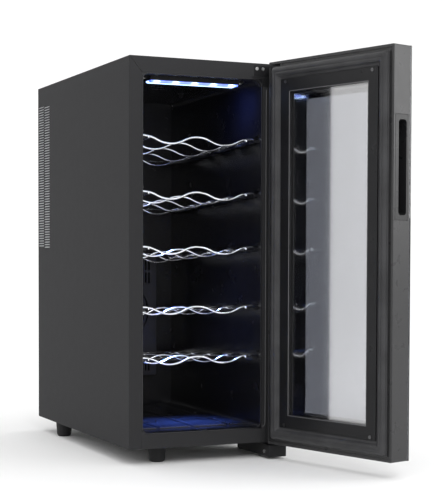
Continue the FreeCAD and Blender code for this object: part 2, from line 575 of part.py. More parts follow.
def power_board():
    board = box(BOARD_X0, BOARD_X1, BOARD_Y, BOARD_Y + 1.6, BOARD_Z0, BOARD_Z1)
    spots = [(x, z) for x in (BOARD_X0 + 5, BOARD_X1 - 5) for z in (BOARD_Z0 + 5, BOARD_Z1 - 5)]
    return cut(board, [cyl(SCREW_R + 0.1, 4, x, BOARD_Y - 1, z, "y") for x, z in spots])


def board_pillars():
    spots = [(x, z) for x in (BOARD_X0 + 5, BOARD_X1 - 5) for z in (BOARD_Z0 + 5, BOARD_Z1 - 5)]
    return group([cyl(3.2, BOARD_Y - BULK_Y - SHEET, x, BULK_Y + SHEET, z, "y").fuse(
        cyl(SCREW_R, 4.0, x, BOARD_Y, z, "y")) for x, z in spots])


def power_components():
    """Transformer, capacitors, chokes, a transistor on its heat spreader, a relay and terminals."""
    y = BOARD_Y + 1.6
    solids = [
        box(-62, -28, y, y + 26, 48, 80),
        box(-20, 2, y, y + 15, 40, 62),
        box(-96, -72, y, y + 12, 84, 100),
        box(8, 24, y, y + 9, 84, 104),
        box(-96, -92, y, y + 28, 32, 74),
        box(-20, 22, y, y + 3, 70, 78),
    ]
    for x, z, r, h in ((-80, 44, 9, 30), (-80, 66, 9, 30), (-48, 96, 6, 20), (-30, 96, 6, 20), (16, 34, 5, 14)):
        solids.append(cyl(r, h, x, y, z, "y"))
    ring = Part.makeTorus(8.0, 3.2, V(-44, y + 3.4, 34), AXIS["y"])
    solids.append(ring)
    return group(solids)


# ---- shelves --------------------------------------------------------------------------------
def wave_wire(z_mid):
    """One cross wire: tangent arcs, a peak at the middle and at both ends."""
    run, rise = WAVE_HALF_PITCH, WAVE_RISE
    radius = (run * run + rise * rise) / (4 * rise)
    peak, dip = z_mid + rise / 2, z_mid - rise / 2
    bend = math.asin(run / 2 / radius)
    edges = []

    def arc(cx, crest, sign, a0, a1):
        centre = crest - sign * radius
        pts = [V(cx + radius * math.sin(a), 0, centre + sign * radius * math.cos(a))
               for a in (a0, (a0 + a1) / 2, a1)]
        edges.append(Part.Arc(*pts).toShape())

    left, right = SHELF_X - 2 * run, SHELF_X + 2 * run
    edges.append(Part.makeLine(V(SHELF_X - SHELF_HALF, 0, peak), V(left, 0, peak)))
    arc(left, peak, 1, 0, bend)
    arc(SHELF_X - run, dip, -1, -bend, bend)
    arc(SHELF_X, peak, 1, -bend, bend)
    arc(SHELF_X + run, dip, -1, -bend, bend)
    arc(right, peak, 1, -bend, 0)
    edges.append(Part.makeLine(V(right, 0, peak), V(SHELF_X + SHELF_HALF, 0, peak)))
    path = Part.Wire(edges)
    start = V(SHELF_X - SHELF_HALF, 0, peak)
    profile = Part.Wire([Part.makeCircle(WIRE_R, start, AXIS["x"])])
    return path.makePipeShell([profile], True, True)


def wire_shelf(z_mid):
    """Five wave wires welded across two runner rods, with a straight stop wire at the rear."""
    rod_z = z_mid + WAVE_RISE / 2 - WIRE_R - ROD_R + 0.3
    pieces = []
    for i in range(WAVES):
        wire = wave_wire(z_mid)
        wire.translate(V(0, WAVE_Y0 + i * WAVE_STEP, 0))
        pieces.append(wire)
    for side in (-1, 1):
        pieces.append(cyl(ROD_R, SHELF_REAR_Y - WAVE_Y0 + 3, SHELF_X + side * ROD_OFF, WAVE_Y0 - 3, rod_z, "y"))
    pieces.append(cyl(WIRE_R, 2 * SHELF_HALF, SHELF_X - SHELF_HALF, SHELF_REAR_Y - 2, rod_z + 3.05, "x"))
    return tilted(fuse(pieces), z_mid)


# ---- door -----------------------------------------------------------------------------------
SHELL_WALL = 2.5
JAMB_IN = 41.0
REBATE, PANE_INSET = 43.5, 44.0
PANE_IN = door_in - 2.6
HANDLE_Z0, HANDLE_Z1 = 344.4, 493.5
HANDLE_T0, HANDLE_T1 = 3.3, 28.8
POCKET_T0, POCKET_T1 = 10.0, 26.5
HANDLE_DEEP = 20.0
BOSS_W = 34.0
BUSH_R = 6.0
PANEL_X, PANEL_Z0, PANEL_Z1 = 60.0, 553.0, 579.0


def hinge_pocket():
    """Room in the door's top corner for the upper ear over the whole swing."""
    bay = box(HINGE_X - 8.3, half_w + 1, HINGE_Y, door_in + 1, POCKET_Z0, POCKET_Z1)
    sweep = box(HINGE_X, half_w + 1, HINGE_Y - 12, HINGE_Y + 1, POCKET_Z0, POCKET_Z1)
    return fuse([bay, sweep, cyl(8.3, POCKET_Z1 - POCKET_Z0, HINGE_X, HINGE_Y, POCKET_Z0)])


def corner_bosses(grow=0.0):
    x0 = half_w - BOSS_W - grow
    return [box(x0, half_w - SHELL_WALL + 1, shell_out, door_in - 2, 552.0 - grow, DOOR_Z1 - 1),
            box(x0, half_w - SHELL_WALL + 1, shell_out, door_in - 2, DOOR_Z0 + 1, 30.0 + grow)]


def handle_tub_outer(grow=0.0):
    return box(-half_w, -half_w + HANDLE_DEEP + 2 + grow, door_in - POCKET_T1 - 2 - grow,
               door_in - POCKET_T0 + 2 + grow, HANDLE_Z0 + 5 - grow, HANDLE_Z1 - 5 + grow)


def handle_flange(depth, gap=0.0):
    return box(-half_w - gap, -half_w + depth, door_in - HANDLE_T1 - gap, door_in - HANDLE_T0 + gap,
               HANDLE_Z0 - gap, HANDLE_Z1 + gap)


def bush(z0, z1):
    return cyl(BUSH_R, z1 - z0, HINGE_X, HINGE_Y, z0)


def door_shell():
    """The door's one-piece inner moulding: rim, inner face, window jamb and two hinge bosses."""
    ring = door_ring(0, WINDOW, shell_out, door_in)
    rebate = door_block(REBATE, PANE_IN - GLASS_T, door_in + 1)
    channel = door_ring(SHELL_WALL, JAMB_IN, shell_out - 1, door_in - 3)
    groove = door_ring(4.0, 8.2, door_in - 1.8, door_in + 1)
    body = fuse([cut(ring, [rebate, channel, groove])] + corner_bosses())
    tools = [hinge_pocket(), bush(561.0, POCKET_Z0), bush(DOOR_Z0, 22.0),
             handle_tub_outer(0.1), handle_flange(1.5, 0.7)]
    body = cut(body, tools)
    outline = [e for e in body.Edges if e.BoundBox.YLength > 25 and abs(abs(e.BoundBox.Center.x) - half_w) < 1e-3
               and (abs(e.BoundBox.Center.z - DOOR_Z0) < 1e-3 or abs(e.BoundBox.Center.z - DOOR_Z1) < 1e-3)]
    return body.makeFillet(1.5, outline) if outline else body


def door_foam():
    ring = door_ring(SHELL_WALL + 0.1, JAMB_IN - 0.1, shell_out, door_in - 3)
    board_room = box(-PANEL_X - 1, PANEL_X + 1, shell_out - 1, shell_out + 8, PANEL_Z0 - 1, PANEL_Z1 + 1)
    return cut(ring, corner_bosses(0.1) + [handle_tub_outer(0.2), board_room])


def inner_glass():
    return door_block(PANE_INSET, PANE_IN - GLASS_T, PANE_IN)


def glazing_spacer():
    """The dark stepped frame that keeps the two panes apart."""
    y_mid = door_in - 18.0
    step = door_ring(WINDOW, WINDOW + 2.4, y_mid, PANE_IN - GLASS_T)
    rest = door_ring(WINDOW, WINDOW + 1.4, shell_out, y_mid)
    return step.fuse(rest)


def enamel_border():
    """The black border printed behind the front pane, wider at the top over the touch controls."""
    sheet = door_block(0, door_out + GLASS_T, shell_out)
    return sheet.cut(box(-half_w + 51, half_w - 51, door_out, door_in, 48.0, DOOR_Z1 - 58.0))


def front_glass():
    pane = door_block(0, door_out, door_out + GLASS_T)
    return round_edges(pane, 1.0, lambda e: abs(e.BoundBox.YMax - door_out) < 1e-6)


def retention_frame():
    """The inner frame: a face over the shell and a lip that holds the inner pane."""
    face = door_ring(29.0, 48.5, door_in, door_in + 2.2)
    lip = door_ring(PANE_INSET + 0.2, 48.5, PANE_IN, door_in)
    holes = [cyl(SCREW_R + 0.1, 8, x, door_in - 4, z, "y") for x, z in retention_points()]
    return cut(face.fuse(lip), holes)


def retention_points():
    return [(sx * (half_w - 40.0), z) for sx in (-1, 1) for z in (DOOR_Z0 + 33.0, DOOR_Z1 - 33.0)]


def retention_screws():
    return group([screw(x, door_in + 2.2, z, "y", 2.6, 1.0, 2.2) for x, z in retention_points()])


def gasket():
    """The magnetic bellows seal around the door's inner face, with its magnet channel."""
    ring = door_ring(GASKET_OUT, GASKET_IN, door_in, door_in + GASKET_H)
    ring = round_edges(ring, 2.6, lambda e: abs(e.BoundBox.YMin - door_in - GASKET_H) < 1e-6)
    lip = door_ring(GASKET_IN - 1, GASKET_IN + 1.8, door_in, door_in + 1.2)
    return cut(ring.fuse(lip), magnet_bars(0.15))


def magnet_bars(grow=0.0):
    mid = (GASKET_OUT + GASKET_IN) / 2
    y0, y1 = door_in + 2.6 - grow, door_in + 5.0 + grow
    x_edge, z0, z1 = half_w - mid, DOOR_Z0 + mid, DOOR_Z1 - mid
    w = 3.5 + grow
    bars = [box(sx * x_edge - w, sx * x_edge + w, y0, y1, z0 + 8 - grow, z1 - 8 + grow) for sx in (-1, 1)]
    bars += [box(-x_edge + 8 - grow, x_edge - 8 + grow, y0, y1, z - w, z + w) for z in (z0, z1)]
    return bars


def handle_insert():
    """The recessed pull: a flush flange and a finger tub with a slanted floor."""
    tub = fuse([handle_flange(1.5), handle_tub_outer()])
    pocket = box(-half_w - 1, -half_w + HANDLE_DEEP, door_in - POCKET_T1, door_in - POCKET_T0,
                 HANDLE_Z0 + 7, HANDLE_Z1 - 7)
    pocket = round_edges(pocket, 5.0, lambda e: e.BoundBox.XLength > 10)
    return tub.cut(pocket)


def door_bush(z0, z1):
    return bush(z0, z1).cut(cyl(PIN_R + RUN_FIT, z1 - z0 + 2, HINGE_X, HINGE_Y, z0 - 1))


def control_board():
    """Touch board with a display block and pads, against the back of the front pane's border."""
    board = box(-PANEL_X, PANEL_X, shell_out + 1.8, shell_out + 3.4, PANEL_Z0, PANEL_Z1)
    display = box(-16, 16, shell_out, shell_out + 1.9, PANEL_Z0 + 6, PANEL_Z1 - 6)
    pads = [cyl(5.0, 1.9, x, shell_out, (PANEL_Z0 + PANEL_Z1) / 2, "y") for x in (-48, -32, 32, 48)]
    return fuse([board, display] + pads)


# ---- build ----------------------------------------------------------------------------------
def main():
    save("cabinet_wrap", cabinet_wrap())
    save("base_pan", base_pan())
    for name, (x, y) in FEET.items():
        save(name, foot(x, y))
    save("foot_screws", foot_screws())
    save("inner_liner", inner_liner())
    save("insulation", insulation())
    save("upper_hinge_bracket", upper_hinge_bracket())
    save("upper_hinge_cover", upper_hinge_cover())
    save("lower_hinge_bracket", lower_hinge_bracket())
    save("lower_hinge_cover", lower_hinge_cover())
    upper_pin, lower_pin = hinge_pins()
    save("upper_hinge_pin", upper_pin)
    save("lower_hinge_pin", lower_pin)
    save("hinge_screws", hinge_screws())
    save("led_housing", led_housing())
    save("led_lens", led_lens())
    save("led_board", led_board())
    save("led_chips", led_chips())
    save("led_screws", led_screws())
    save("temperature_sensor", temperature_sensor())
    save("fan_cover", fan_cover())
    save("inner_fan_frame", fan_frame(IN_FAN_Y))
    save("inner_fan_impeller", fan_impeller(IN_FAN_Y))
    save("cold_heatsink", cold_heatsink())
    save("cold_block", cold_block())
    save("thermoelectric_module", thermoelectric_module())
    save("hot_heatsink", hot_heatsink())
    save("module_screws", module_screws())
    save("outer_fan_frame", fan_frame(OUT_FAN_Y))
    save("outer_fan_impeller", fan_impeller(OUT_FAN_Y))
    save("fan_screws", fan_screws())
    save("rear_bulkhead", rear_bulkhead())
    save("rear_cover", rear_cover())
    save("rear_cover_screws", rear_cover_screws())
    save("mains_inlet", mains_inlet())
    save("inlet_pins", inlet_pins())
    save("power_board", power_board())
    save("board_pillars", board_pillars())
    save("power_components", power_components())
    for number, z in enumerate(SHELF_Z, 1):
        save("wire_shelf_%d" % number, wire_shelf(z))
    save_door("door_shell", door_shell())
    save_door("door_foam", door_foam())
    save_door("inner_glass", inner_glass())
    save_door("glazing_spacer", glazing_spacer())
    save_door("enamel_border", enamel_border())
    save_door("front_glass", front_glass())
    save_door("retention_frame", retention_frame())
    save_door("retention_screws", retention_screws())
    save_door("gasket", gasket())
    save_door("gasket_magnets", group(magnet_bars()))
    save_door("handle_insert", handle_insert())
    save_door("upper_door_bush", door_bush(561.0, POCKET_Z0))
    save_door("lower_door_bush", door_bush(DOOR_Z0, 22.0))
    save_door("control_board", control_board())


main()
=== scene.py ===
import math

import bmesh
import bpy
from mathutils import Matrix, Vector


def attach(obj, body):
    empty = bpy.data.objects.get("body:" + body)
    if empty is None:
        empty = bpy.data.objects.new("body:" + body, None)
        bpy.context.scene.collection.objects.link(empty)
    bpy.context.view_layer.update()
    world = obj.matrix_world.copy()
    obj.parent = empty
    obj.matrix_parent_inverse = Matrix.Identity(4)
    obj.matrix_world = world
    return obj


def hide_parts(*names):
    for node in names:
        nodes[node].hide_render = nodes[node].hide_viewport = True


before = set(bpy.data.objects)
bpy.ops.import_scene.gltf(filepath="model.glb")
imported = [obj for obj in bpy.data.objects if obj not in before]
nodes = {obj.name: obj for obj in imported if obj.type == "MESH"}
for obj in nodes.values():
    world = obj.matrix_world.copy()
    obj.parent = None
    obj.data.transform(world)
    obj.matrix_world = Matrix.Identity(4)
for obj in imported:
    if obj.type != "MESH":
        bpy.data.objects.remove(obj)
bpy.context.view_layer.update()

# Lengths are millimetres in the drawing frame of the CAD source: X across, Y 0 at the cabinet's
# front plane, Z 0 at its underside.  at() turns them into the scene's metres.
CAB_W, CAB_D, FOOT_H = 260.0, 470.5, 25.0
OPEN_X1, OPEN_Z0, OPEN_Z1 = 91.0, 22.0, 568.0
SHELF_Z = [469.5, 385.0, 301.0, 209.0, 131.6]
SHELF_X, SHELF_HALF = -11.5, 95.5
WAVE_HALF_PITCH, WAVE_RISE, WIRE_R = 45.0, 11.0, 1.6
ROD_R, ROD_OFF, WELD_SINK = 1.75, 82.0, 0.3
WAVE_Y0, WAVE_STEP, WAVES, SHELF_REAR_Y = 17.0, 70.0, 5, 332.0
SHELF_TILT = math.radians(3.0)
ROD_NOSE, REAR_WIRE_IN = 3, 2
DOOR_T, DOOR_GAP, DOOR_Z0, DOOR_Z1 = 37.0, 7.96, 0.6, 591.4
HINGE_X, HINGE_Y, OPEN_DEG = 115.65, -27.2, 106.0
SEAL_INSET, SEAL_CORNER_R, SEAL_LEAST_R = 8.6, 6.0, 1.5
LOUVRE_ROWS, LOUVRE_PITCH, LOUVRE_Z = 56, 4.5, 306.0
LOUVRE_COLUMNS = [(401.0, 431.0), (435.5, 465.5)]
LED_X0, LED_X1, LED_Y0, LED_Y1, LED_COUNT, LED_END = -88.0, 62.0, 22.0, 48.0, 5, 12.0
LAMP_Z = 555.5
HALF_W = CAB_W / 2
DOOR_IN = -DOOR_GAP
BEAD_R, BEAD_SIDES = 0.55, 10
WINDOW_BEAD_INSET, WINDOW_BEAD_H = 48.1, 2.1
RIM_BEAD_OUT, RIM_BEAD_Y = 6.6, -0.15
BORDER_EDGE, BORDER_WINDOW, BORDER_FRONT, BORDER_BACK = 0.3, 51.0, 3.56, 4.1
WINDOW_Z0, WINDOW_TOP, BORDER_EDGE_R, WINDOW_R = 48.0, 58.0, 1.2, 3.0

# Weld beads on the shelves: half widths along X, Y and Z, in metres.
CROSS_WELD, REAR_WELD = (0.0021, 0.0024, 0.0013), (0.0024, 0.0021, 0.0013)

# The camera: place in the drawing frame, angles in degrees, lens in millimetres.
CAM_X, CAM_Y, CAM_Z = -841.0, -1903.8, 297.2
CAM_YAW, CAM_PITCH, CAM_ROLL = 24.361, 2.173, 0.162
CAM_LENS, CAM_SENSOR, CAM_SHIFT = 97.42, 36.0, 0.1088

# The studio: a white surround with two softboxes; powers in watts, lengths in metres.
SURROUND = 1.15
KEY_POWER, KEY_SIZE = 25, 1.2
EDGE_POWER, EDGE_WIDE, EDGE_HIGH = 19, 1.5, 1.15
SWEEP_BEND_Y, SWEEP_R, SWEEP_TOP = 3.2, 1.6, 9.0


def at(x, y, z):
    """A point of the drawing frame, in the scene's metres."""
    return Vector((x, y - CAB_D / 2, z + FOOT_H)) / 1000


def on_door(x, y, z):
    """A point of the closed door, where it is with the door open."""
    a = math.radians(OPEN_DEG)
    dx, dy = x - HINGE_X, y - HINGE_Y
    turned_x = HINGE_X + dx * math.cos(a) - dy * math.sin(a)
    turned_y = HINGE_Y + dx * math.sin(a) + dy * math.cos(a)
    return at(turned_x, turned_y, z)


# ---- camera, light and floor ----------------------------------------------------------------
def make_camera():
    data = bpy.data.cameras.new("camera")
    cam = bpy.data.objects.new("camera", data)
    bpy.context.scene.collection.objects.link(cam)
    bpy.context.scene.camera = cam
    data.sensor_width, data.lens = CAM_SENSOR, CAM_LENS
    data.shift_y = CAM_SHIFT
    data.clip_start, data.clip_end = 0.05, 60.0
    yaw, pitch, roll = math.radians(CAM_YAW), math.radians(CAM_PITCH), math.radians(CAM_ROLL)
    ahead = Vector((math.sin(yaw) * math.cos(pitch), math.cos(yaw) * math.cos(pitch), -math.sin(pitch)))
    level = Vector((math.cos(yaw), -math.sin(yaw), 0))
    above = level.cross(ahead)
    right = level * math.cos(roll) + above * math.sin(roll)
    up = above * math.cos(roll) - level * math.sin(roll)
    turn = Matrix((right, up, -ahead)).transposed().to_4x4()
    cam.matrix_world = Matrix.Translation(at(CAM_X, CAM_Y, CAM_Z)) @ turn


def area_light(name, place, target, size, power, colour=(1, 1, 1), size_y=None, spread=180):
    data = bpy.data.lights.new(name, "AREA")
    data.energy, data.color = power, colour
    data.shape, data.size, data.size_y = "RECTANGLE", size, size_y or size
    data.spread = math.radians(spread)
    light = bpy.data.objects.new(name, data)
    bpy.context.scene.collection.objects.link(light)
    light.location = place
    light.rotation_euler = (Vector(target) - Vector(place)).to_track_quat("-Z", "Y").to_euler()


def make_studio():
    """A bright surround, two softboxes and a white sweep that turns up behind the object."""
    world = bpy.data.worlds.new("studio")
    bpy.context.scene.world = world
    world.use_nodes = True
    background = world.node_tree.nodes["Background"]
    background.inputs["Color"].default_value = (1.0, 1.0, 1.0, 1)
    background.inputs["Strength"].default_value = SURROUND
    area_light("key", (-0.2, -2.8, 2.2), (0, 0, 0.3), KEY_SIZE, KEY_POWER)
    area_light("edge_softbox", (2.3, -1.55, 1.0), (0.15, -0.3, 0.5), EDGE_WIDE, EDGE_POWER, size_y=EDGE_HIGH)
    bm = bmesh.new()
    sweep = [(-9.0, 0.0), (-4.0, 0.0), (0.0, 0.0), (SWEEP_BEND_Y, 0.0)]
    for t in range(9, 91, 9):
        a = math.radians(t)
        sweep.append((SWEEP_BEND_Y + SWEEP_R * math.sin(a), SWEEP_R - SWEEP_R * math.cos(a)))
    sweep.append((SWEEP_BEND_Y + SWEEP_R, SWEEP_TOP))
    rows = [[bm.verts.new((x, y, z)) for x in (-12, -4, 0, 4, 12)] for y, z in sweep]
    for low, high in zip(rows, rows[1:]):
        for k in range(4):
            bm.faces.new((low[k], low[k + 1], high[k + 1], high[k]))
    mesh = bpy.data.meshes.new("sweep")
    bm.to_mesh(mesh)
    bm.free()
    mesh.shade_smooth()
    mesh.materials.append(plain("sweep_pale", (0.93, 0.93, 0.93), 0.8))
    floor = bpy.data.objects.new("sweep", mesh)
    bpy.context.scene.collection.objects.link(floor)
    bpy.context.scene.view_settings.view_transform = "Standard"


# ---- materials ------------------------------------------------------------------------------
# Depths of the coat's relief, in metres.
PEEL_DEPTH, SLOW_PEEL_DEPTH = 0.00003, 0.000012


class Finish:
    """A material whose colour, roughness and bump come from noise in object space."""

    def __init__(self, name):
        self.mat = bpy.data.materials.new(name)
        self.mat.use_nodes = True
        self.tree = self.mat.node_tree
        self.bsdf = self.tree.nodes["Principled BSDF"]
        self.place = self.tree.nodes.new("ShaderNodeTexCoord").outputs["Object"]

    def set(self, **values):
        for key, value in values.items():
            socket = self.bsdf.inputs[key.replace("_", " ")]
            socket.default_value = (*value, 1) if isinstance(value, tuple) else value
        return self

    def node(self, kind, **props):
        made = self.tree.nodes.new("ShaderNode" + kind)
        for key, value in props.items():
            setattr(made, key, value)
        return made

    def link(self, a, b):
        self.tree.links.new(a, b)

    def stretched(self, scale):
        mapping = self.node("Mapping")
        mapping.inputs["Scale"].default_value = scale
        self.link(self.place, mapping.inputs["Vector"])
        return mapping.outputs["Vector"]

    def noise(self, scale, detail=4.0, rough=0.55, stretch=None):
        made = self.node("TexNoise")
        made.inputs["Scale"].default_value = scale
        made.inputs["Detail"].default_value = detail
        made.inputs["Roughness"].default_value = rough
        self.link(self.stretched(stretch) if stretch else self.place, made.inputs["Vector"])
        return made.outputs["Fac"]

    def ramp(self, fac, stops):
        made = self.node("ValToRGB")
        for i, (pos, colour) in enumerate(stops):
            spot = made.color_ramp.elements[i] if i < 2 else made.color_ramp.elements.new(pos)
            spot.position = pos
            spot.color = (*colour, 1) if isinstance(colour, tuple) else (colour, colour, colour, 1)
        self.link(fac, made.inputs["Fac"])
        return made.outputs["Color"]

    def colour(self, fac, low, high, a=0.35, b=0.65):
        self.link(self.ramp(fac, [(a, low), (b, high)]), self.bsdf.inputs["Base Color"])
        return self

    def rough(self, fac, low, high, a=0.3, b=0.7):
        self.link(self.ramp(fac, [(a, low), (b, high)]), self.bsdf.inputs["Roughness"])
        return self

    def bump(self, fac, distance, strength=1.0):
        made = self.node("Bump")
        made.inputs["Strength"].default_value = strength
        made.inputs["Distance"].default_value = distance
        self.link(fac, made.inputs["Height"])
        last = self.bsdf.inputs["Normal"]
        if last.is_linked:
            self.link(last.links[0].from_socket, made.inputs["Normal"])
        self.link(made.outputs["Normal"], last)
        return self


def plain(name, colour, roughness):
    f = Finish(name)
    r, g, b = colour
    f.colour(f.noise(3.0), (r * 0.985, g * 0.985, b * 0.985), (r, g, b))
    f.set(Roughness=roughness, Specular_IOR_Level=0.2)
    return f.mat


def painted(name, base, grain=900.0, rough=(0.42, 0.52), lift=1.16, shine=0.25):
    """Fine-textured powder coat: orange peel, a soft speckle, and slow drift in tone."""
    f = Finish(name)
    low = tuple(c / lift for c in base)
    high = tuple(c * lift for c in base)
    f.colour(f.noise(grain * 0.6, 2.0), low, high, 0.25, 0.75)
    f.rough(f.noise(60.0, 5.0), rough[0], rough[1])
    f.set(Specular_IOR_Level=shine)
    f.bump(f.noise(grain, 3.0), PEEL_DEPTH)
    f.bump(f.noise(grain / 3, 2.0), SLOW_PEEL_DEPTH)
    return f.mat


def moulded(name, base, rough=(0.38, 0.5), grain=1400.0, depth=0.00002, shine=0.2):
    """Injection-moulded plastic with a fine spark-eroded texture."""
    f = Finish(name)
    f.colour(f.noise(9.0, 3.0), tuple(c * 0.88 for c in base), tuple(c * 1.12 for c in base))
    f.rough(f.noise(30.0, 6.0), rough[0], rough[1])
    f.set(Specular_IOR_Level=shine)
    f.bump(f.noise(grain, 2.0), depth)
    return f.mat


def chrome_wire():
    f = Finish("bright_chrome")
    f.set(Metallic=1.0)
    f.colour(f.noise(60.0, 3.0), (0.78, 0.80, 0.84), (0.90, 0.91, 0.93))
    f.rough(f.noise(420.0, 4.0), 0.06, 0.16)
    f.bump(f.noise(260.0, 3.0), 0.00002)
    return f.mat


def metal(name, base, rough, stretch=None, scale=900.0):
    f = Finish(name)
    f.set(Metallic=1.0)
    f.colour(f.noise(40.0, 4.0), tuple(c * 0.86 for c in base), base)
    f.rough(f.noise(scale, 4.0, stretch=stretch), rough[0], rough[1])
    f.bump(f.noise(scale, 3.0, stretch=stretch), 0.00002)
    return f.mat


def tinted_glass(name, tint, coat=0.0, smudge=0.02):
    """A pane; coat is the share of its face that a reflective coating covers."""
    f = Finish(name)
    f.set(Base_Color=tint, Transmission_Weight=1.0, IOR=1.52, Metallic=coat)
    f.rough(f.noise(18.0, 5.0), smudge * 0.8, smudge)
    return f.mat


def rubber(name, base, rough=(0.5, 0.68)):
    f = Finish(name)
    f.colour(f.noise(25.0, 5.0), tuple(c * 0.8 for c in base), tuple(c * 1.2 for c in base))
    f.rough(f.noise(55.0, 5.0), rough[0], rough[1])
    f.set(Specular_IOR_Level=0.2)
    f.bump(f.noise(700.0, 4.0), 0.00004)
    return f.mat


def circuit_board():
    f = Finish("solder_mask")
    f.colour(f.noise(160.0, 1.0, stretch=(1, 1, 5)), (0.008, 0.05, 0.022), (0.02, 0.12, 0.05), 0.47, 0.53)
    f.set(Roughness=0.3)
    f.bump(f.noise(160.0, 1.0, stretch=(1, 1, 5)), 0.00003)
    return f.mat


def rigid_foam():
    f = Finish("rigid_foam")
    cells = f.node("TexVoronoi")
    cells.inputs["Scale"].default_value = 700.0
    f.link(f.place, cells.inputs["Vector"])
    f.colour(f.noise(30.0), (0.62, 0.52, 0.30), (0.74, 0.66, 0.42))
    f.bump(cells.outputs["Distance"], 0.0004)
    f.set(Roughness=0.9)
    return f.mat


def lit_diffuser():
    """The lamp's milky lens: hot spots over the chips, deep blue between and around them."""
    f = Finish("lit_diffuser")
    f.set(Base_Color=(0.55, 0.68, 0.95), Roughness=0.35)
    split = f.node("SeparateXYZ")
    f.link(f.place, split.inputs["Vector"])
    step = (LED_X1 - LED_X0 - 2 * LED_END) / (LED_COUNT - 1) / 1000
    first = (LED_X0 + LED_END) / 1000
    shift = f.node("MapRange")
    shift.inputs["From Min"].default_value = first
    shift.inputs["From Max"].default_value = first + step
    shift.clamp = False
    f.link(split.outputs["X"], shift.inputs["Value"])
    wave = f.node("Math", operation="PINGPONG")
    wave.inputs[1].default_value = 0.5
    f.link(shift.outputs["Result"], wave.inputs[0])
    spots = f.ramp(wave.outputs["Value"], [(0.0, (1.0, 1.0, 1.0)), (0.10, (0.40, 0.62, 1.0)),
                                          (0.22, (0.04, 0.09, 0.62)), (0.5, (0.012, 0.03, 0.4))])
    across = f.node("MapRange")
    across.inputs["From Min"].default_value = (LED_Y0 - CAB_D / 2) / 1000
    across.inputs["From Max"].default_value = (LED_Y1 - CAB_D / 2) / 1000
    f.link(split.outputs["Y"], across.inputs["Value"])
    core = f.ramp(across.outputs["Result"], [(0.14, (0.02, 0.04, 0.45)), (0.34, (0.10, 0.20, 0.95)),
                                             (0.52, (0.62, 0.86, 1.0)), (0.74, (0.50, 0.76, 1.0)),
                                             (0.94, (0.03, 0.06, 0.7))])
    near = f.ramp(across.outputs["Result"], [(0.30, 1.0), (0.55, 0.0)])
    mix = f.node("Mix", data_type="RGBA", blend_type="MIX")
    f.link(near, mix.inputs["Factor"])
    f.link(core, mix.inputs["A"])
    f.link(spots, mix.inputs["B"])
    f.link(mix.outputs["Result"], f.bsdf.inputs["Emission Color"])
    f.set(Emission_Strength=2.4)
    return f.mat


# ---- mesh helpers ---------------------------------------------------------------------------
def new_piece(name, bm, material, body, replaced=(), smooth=35.0):
    """Makes the mesh an object that rides on a body and stands in for the CAD nodes it replaces."""
    mesh = bpy.data.meshes.new(name)
    bm.normal_update()
    bm.to_mesh(mesh)
    bm.free()
    piece = bpy.data.objects.new(name, mesh)
    bpy.context.scene.collection.objects.link(piece)
    mesh.materials.append(material)
    mesh.shade_smooth()
    mesh.set_sharp_from_angle(angle=math.radians(smooth))
    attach(piece, body)
    if replaced:
        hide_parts(*replaced)


def joined(bm, ring, following):
    """A closed band of quads between two rings of the same count."""
    n = len(ring)
    for j in range(n):
        bm.faces.new((ring[j], ring[(j + 1) % n], following[(j + 1) % n], following[j]))


def tube(bm, points, radius, sides=14):
    """A round tube along the points, with domed ends; the radius is in millimetres."""
    radius = radius / 1000
    pts = [Vector(p) for p in points]
    tangents = [(pts[min(i + 1, len(pts) - 1)] - pts[max(i - 1, 0)]).normalized() for i in range(len(pts))]
    side = tangents[0].orthogonal().normalized()
    rings = []
    spots = [(pts[i], tangents[i], radius) for i in range(len(pts))]
    for k in (0.92, 0.6):
        reach = radius * math.sqrt(1 - k * k)
        spots.insert(0, (pts[0] - tangents[0] * reach * 0.6, tangents[0], radius * k))
        spots.append((pts[-1] + tangents[-1] * reach * 0.6, tangents[-1], radius * k))
    for p, t, r in spots:
        side = (side - t * side.dot(t)).normalized()
        other = t.cross(side)
        ring = []
        for j in range(sides):
            a = 2 * math.pi * j / sides
            ring.append(bm.verts.new(p + (side * math.cos(a) + other * math.sin(a)) * r))
        rings.append(ring)
    for ring, following in zip(rings, rings[1:]):
        joined(bm, ring, following)
    bm.faces.new(list(reversed(rings[0])))
    bm.faces.new(rings[-1])


def blob(bm, centre, radii):
    """A weld bead: a flattened ball with its radii in metres."""
    made = bmesh.ops.create_uvsphere(bm, u_segments=12, v_segments=8, radius=1.0)
    for v in made["verts"]:
        v.co = Vector((v.co.x * radii[0], v.co.y * radii[1], v.co.z * radii[2])) + Vector(centre)


# ---- shelves --------------------------------------------------------------------------------
def wave_points(z_mid, per_arc=10):
    """The cross wire's line: tangent arcs with crests at the middle and both ends."""
    run, rise = WAVE_HALF_PITCH, WAVE_RISE
    radius = (run * run + rise * rise) / (4 * rise)
    bend = math.asin(run / 2 / radius)
    peak, dip = z_mid + rise / 2, z_mid - rise / 2
    line = [(SHELF_X - SHELF_HALF, peak)]
    arcs = [(-2, 1, 0, bend), (-1, -1, -bend, bend), (0, 1, -bend, bend), (1, -1, -bend, bend),
            (2, 1, -bend, 0)]
    for step, sign, a0, a1 in arcs:
        for i in range(per_arc + 1):
            a = a0 + (a1 - a0) * i / per_arc
            x = SHELF_X + step * run + radius * math.sin(a)
            crest = peak if sign > 0 else dip
            point = (x, crest - sign * radius * (1 - math.cos(a)))
            if math.dist(point, line[-1]) > 0.2:
                line.append(point)
    line.append((SHELF_X + SHELF_HALF, peak))
    return line


